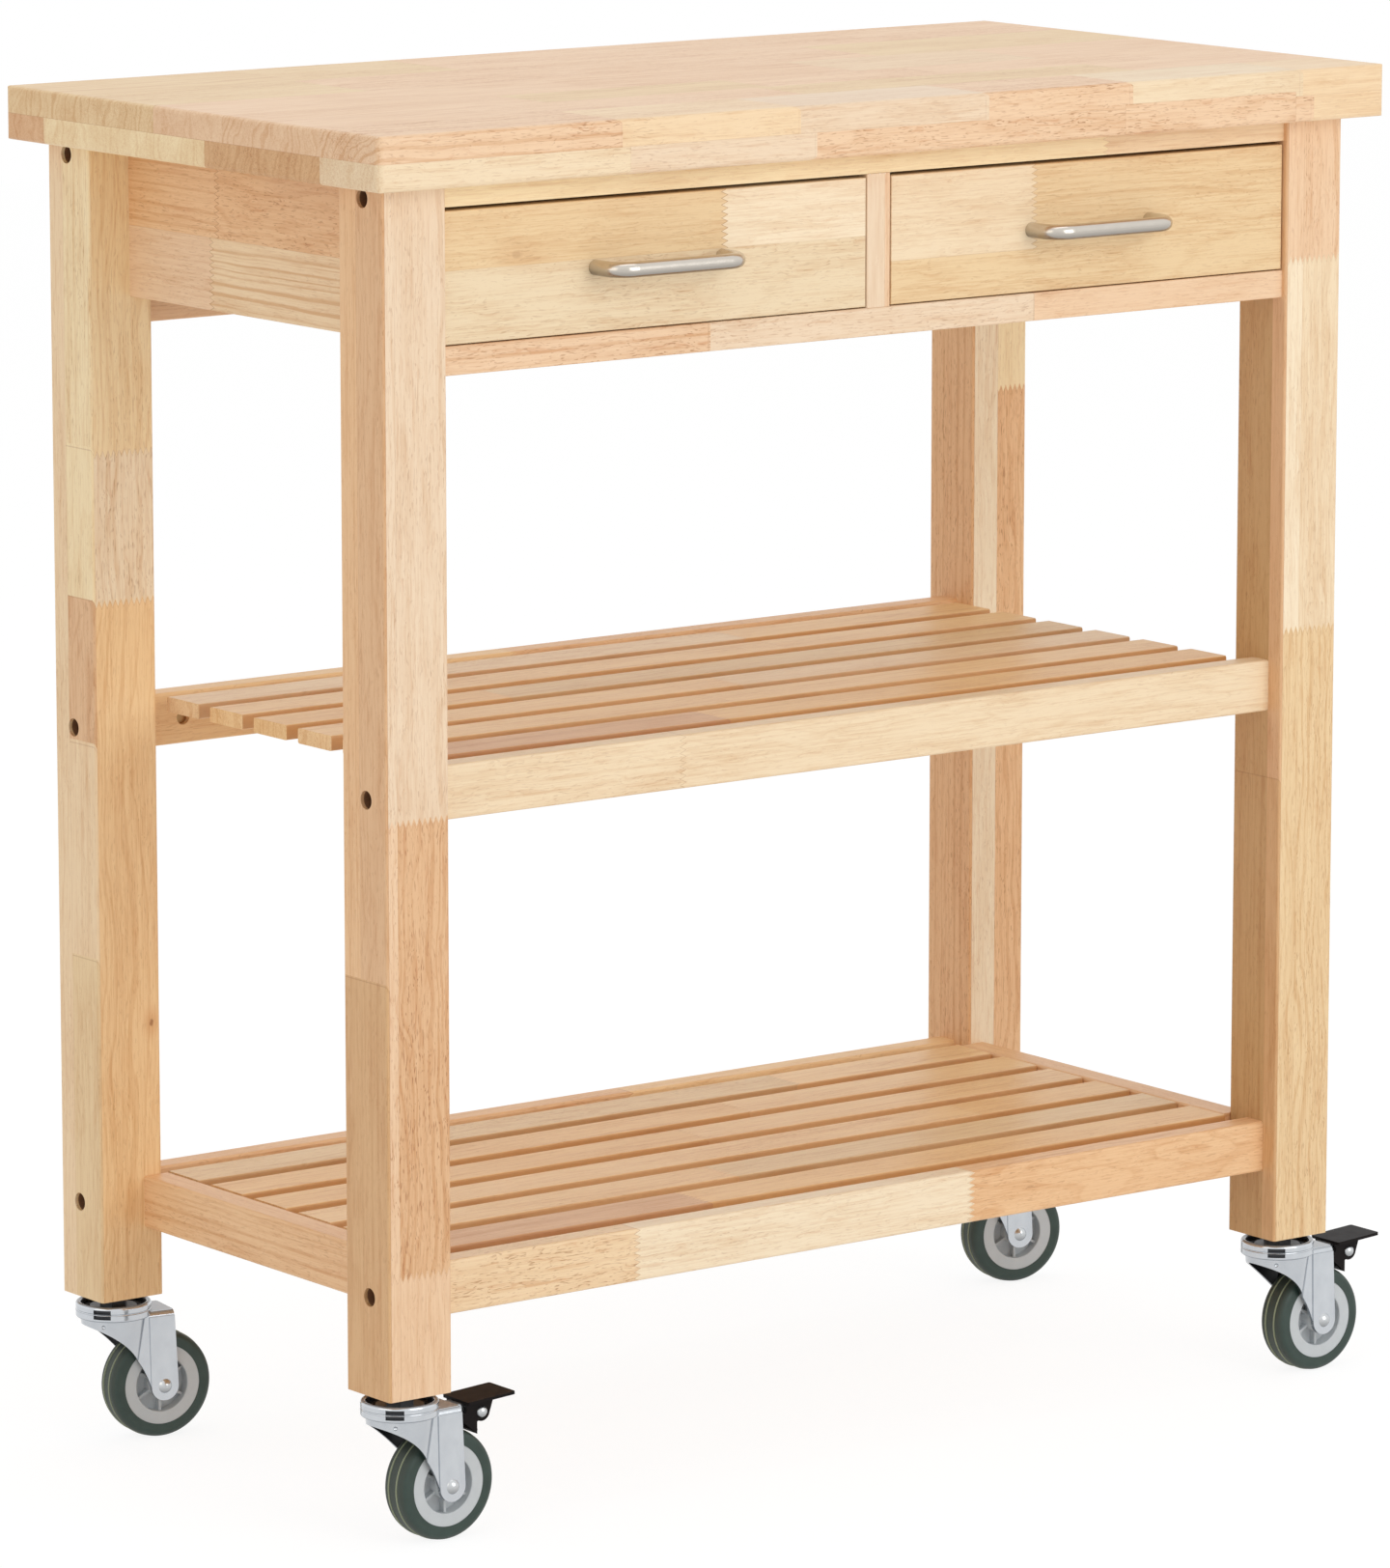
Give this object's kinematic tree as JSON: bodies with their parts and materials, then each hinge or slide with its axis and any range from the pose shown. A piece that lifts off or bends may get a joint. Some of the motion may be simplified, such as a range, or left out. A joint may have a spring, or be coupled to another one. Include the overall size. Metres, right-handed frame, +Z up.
{
  "type": "kitchen island trolley",
  "caption": "Wooden kitchen island trolley with a thick laminated top, twin drawers with bar handles, slatted shelves and braked swivel casters.",
  "frame": {"origin": "on the floor, under the middle of the whole outline, pedals and handles included", "axes": "+X to the right along the width, seen from the drawer side; +Y to the back, so the drawers open towards -Y; +Z up"},
  "size_m": [0.8584, 0.4284, 0.904],
  "materials": {
    "worktop_wood": "finger-jointed light hardwood, clear satin lacquer",
    "leg_wood": "finger-jointed light hardwood, clear satin lacquer",
    "apron_wood": "finger-jointed light hardwood, clear satin lacquer",
    "rail_wood": "light hardwood, clear satin lacquer",
    "slat_wood": "light hardwood slats, clear satin lacquer",
    "drawer_wood": "finger-jointed light hardwood, clear satin lacquer",
    "drawer_box_wood": "pale solid wood, thin lacquer",
    "plywood": "birch-faced plywood, bare",
    "inner_wood": "light hardwood, bare",
    "dowel_wood": "beech, bare",
    "bolt_steel": "black oxide",
    "bright_steel": "zinc plated, dull",
    "caster_zinc": "bright zinc plated pressed steel",
    "handle_steel": "satin nickel",
    "wheel_plastic": "light grey moulded plastic",
    "tyre_rubber": "dark green-grey rubber",
    "pedal_black": "black enamel"
  },
  "bodies": {
    "frame": {"worktop": "worktop_wood", "leg_front_left": "leg_wood", "leg_front_right": "leg_wood", "leg_back_left": "leg_wood", "leg_back_right": "leg_wood", "side_apron_left": "apron_wood", "side_apron_right": "apron_wood", "back_apron": "apron_wood", "drawer_top_rail": "apron_wood", "drawer_bottom_rail": "apron_wood", "drawer_divider": "apron_wood", "drawer_partition": "inner_wood", "drawer_runners": "inner_wood", "upper_shelf_front_rail": "rail_wood", "upper_shelf_back_rail": "rail_wood", "upper_shelf_slats": "slat_wood", "lower_shelf_front_rail": "rail_wood", "lower_shelf_back_rail": "rail_wood", "lower_shelf_left_rail": "rail_wood", "lower_shelf_right_rail": "rail_wood", "lower_shelf_slats": "slat_wood", "shelf_battens": "inner_wood", "frame_bolts": "bolt_steel", "barrel_nuts": "bright_steel", "dowels": "dowel_wood", "wood_screws": "bright_steel", "worktop_brackets": "bright_steel", "caster_stems": "caster_zinc"},
    "drawer_left": {"drawer_left_front": "drawer_wood", "drawer_left_sides": "drawer_box_wood", "drawer_left_back": "drawer_box_wood", "drawer_left_bottom": "plywood", "drawer_left_handle": "handle_steel", "drawer_left_handle_screws": "bright_steel"},
    "drawer_right": {"drawer_right_front": "drawer_wood", "drawer_right_sides": "drawer_box_wood", "drawer_right_back": "drawer_box_wood", "drawer_right_bottom": "plywood", "drawer_right_handle": "handle_steel", "drawer_right_handle_screws": "bright_steel"},
    "caster_front_left": {"fork_front_left": "caster_zinc", "axle_front_left": "caster_zinc", "brake_pin_left": "caster_zinc"},
    "road_wheel_front_left": {"wheel_front_left": "wheel_plastic", "tyre_front_left": "tyre_rubber"},
    "brake_left": {"brake_pedal_left": "pedal_black"},
    "caster_front_right": {"fork_front_right": "caster_zinc", "axle_front_right": "caster_zinc", "brake_pin_right": "caster_zinc"},
    "road_wheel_front_right": {"wheel_front_right": "wheel_plastic", "tyre_front_right": "tyre_rubber"},
    "brake_right": {"brake_pedal_right": "pedal_black"},
    "caster_back_left": {"fork_back_left": "caster_zinc", "axle_back_left": "caster_zinc"},
    "road_wheel_back_left": {"wheel_back_left": "wheel_plastic", "tyre_back_left": "tyre_rubber"},
    "caster_back_right": {"fork_back_right": "caster_zinc", "axle_back_right": "caster_zinc"},
    "road_wheel_back_right": {"wheel_back_right": "wheel_plastic", "tyre_back_right": "tyre_rubber"}
  },
  "joints": [
    {"name": "drawer_left_slide", "type": "slide", "parent": "frame", "child": "drawer_left", "axis": [0, -1, 0], "range_m": [0, 0.22]},
    {"name": "drawer_right_slide", "type": "slide", "parent": "frame", "child": "drawer_right", "axis": [0, -1, 0], "range_m": [0, 0.22]},
    {"name": "swivel_front_left", "type": "hinge", "parent": "frame", "child": "caster_front_left", "pos_m": [-0.38721, -0.16425, 0.092], "axis": [0, 0, 1], "continuous": true},
    {"name": "spin_front_left", "type": "hinge", "parent": "caster_front_left", "child": "road_wheel_front_left", "pos_m": [-0.35722, -0.16425, 0.0365], "axis": [0, 1, 0], "continuous": true},
    {"name": "brake_left_press", "type": "hinge", "parent": "caster_front_left", "child": "brake_left", "pos_m": [-0.33021, -0.16425, 0.0805], "axis": [0, 1, 0], "range_deg": [0, 10]},
    {"name": "swivel_front_right", "type": "hinge", "parent": "frame", "child": "caster_front_right", "pos_m": [0.34879, -0.16425, 0.092], "axis": [0, 0, 1], "continuous": true},
    {"name": "spin_front_right", "type": "hinge", "parent": "caster_front_right", "child": "road_wheel_front_right", "pos_m": [0.37878, -0.16425, 0.0365], "axis": [0, 1, 0], "continuous": true},
    {"name": "brake_right_press", "type": "hinge", "parent": "caster_front_right", "child": "brake_right", "pos_m": [0.40579, -0.16425, 0.0805], "axis": [0, 1, 0], "range_deg": [0, 10]},
    {"name": "swivel_back_left", "type": "hinge", "parent": "frame", "child": "caster_back_left", "pos_m": [-0.38721, 0.16775, 0.092], "axis": [0, 0, 1], "continuous": true},
    {"name": "spin_back_left", "type": "hinge", "parent": "caster_back_left", "child": "road_wheel_back_left", "pos_m": [-0.35758, 0.16306, 0.0365], "axis": [0.1564, 0.9877, 0], "continuous": true},
    {"name": "swivel_back_right", "type": "hinge", "parent": "frame", "child": "caster_back_right", "pos_m": [0.34879, 0.16775, 0.092], "axis": [0, 0, 1], "continuous": true},
    {"name": "spin_back_right", "type": "hinge", "parent": "caster_back_right", "child": "road_wheel_back_right", "pos_m": [0.37813, 0.16151, 0.0365], "axis": [0.2079, 0.9781, 0], "continuous": true}
  ]
}
